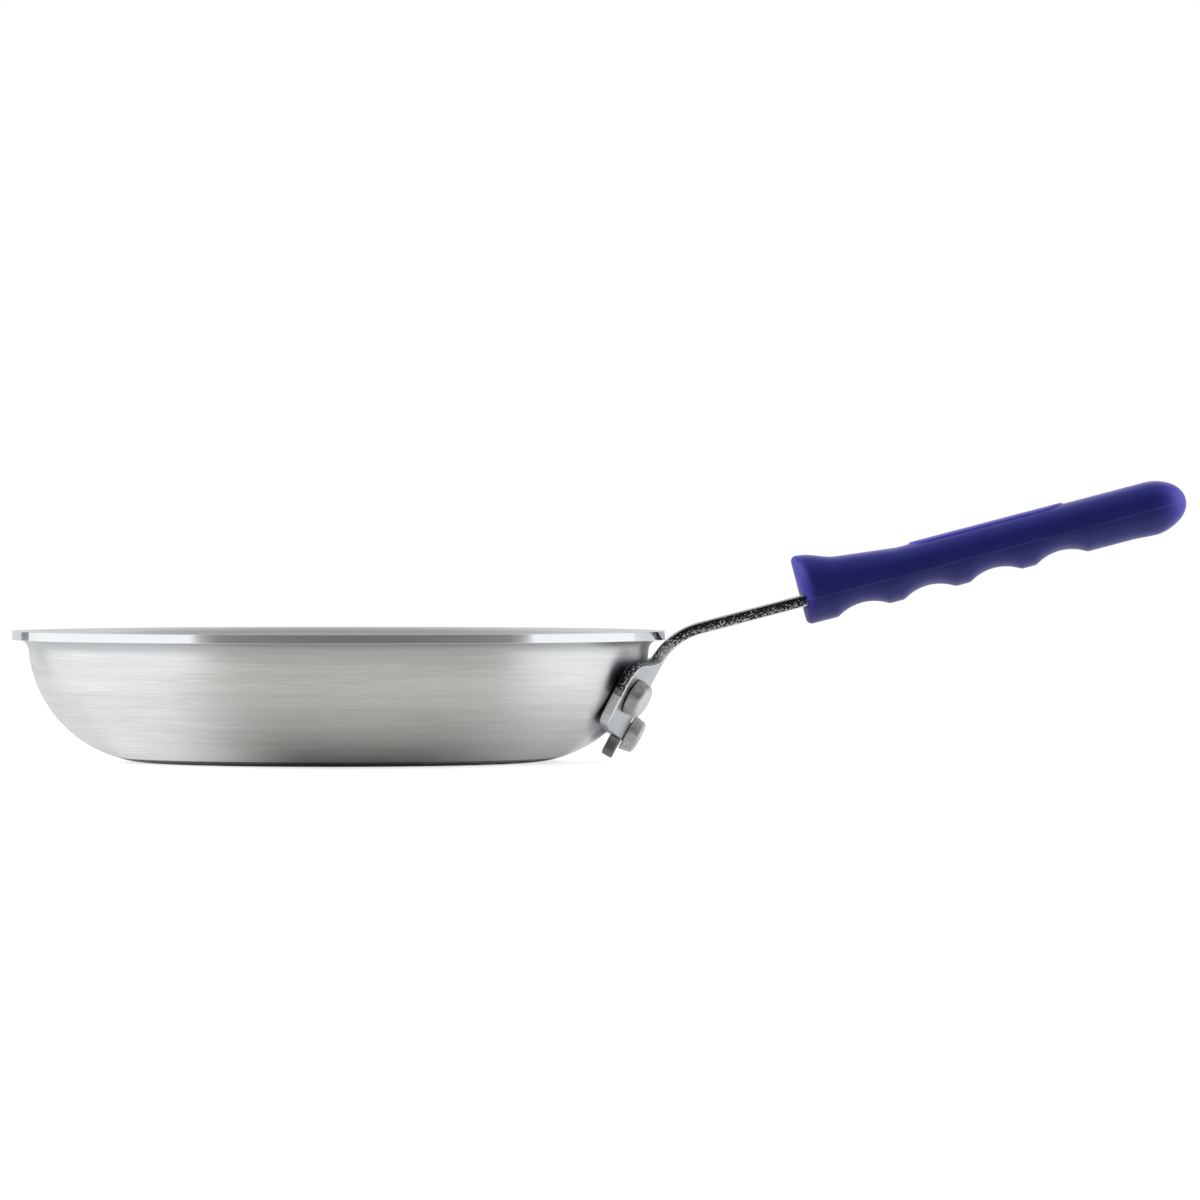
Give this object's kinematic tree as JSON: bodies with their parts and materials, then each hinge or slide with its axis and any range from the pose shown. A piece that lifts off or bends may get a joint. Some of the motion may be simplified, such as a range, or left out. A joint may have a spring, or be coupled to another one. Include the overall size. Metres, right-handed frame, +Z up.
{
  "type": "frying pan",
  "caption": "Open frying pan with a flat base, curved wall and turned-out rim, a riveted bent-bar handle and a pull-off silicone grip with finger hollows.",
  "frame": {"origin": "centre of the flat base, on the surface the pan stands on", "axes": "+Z up along the pan's axis, +X along the handle away from the pan, +Y across the handle"},
  "size_m": [0.4566, 0.254, 0.1092],
  "materials": {
    "aluminium": "spun and satin brushed in rings",
    "plated_steel": "bright plated, with rough sheared edges",
    "rivet": "plain, as set",
    "silicone": "satin moulded"
  },
  "bodies": {
    "pan": {"pan_body": "aluminium", "handle": "plated_steel", "rivet_upper_near": "rivet", "rivet_upper_far": "rivet", "rivet_lower": "rivet"},
    "grip": {"grip": "silicone"}
  },
  "joints": [
    {"name": "grip_pull_off", "type": "slide", "parent": "pan", "child": "grip", "axis": [0.9673, 0, 0.2538], "range_m": [0, 0.142]}
  ]
}
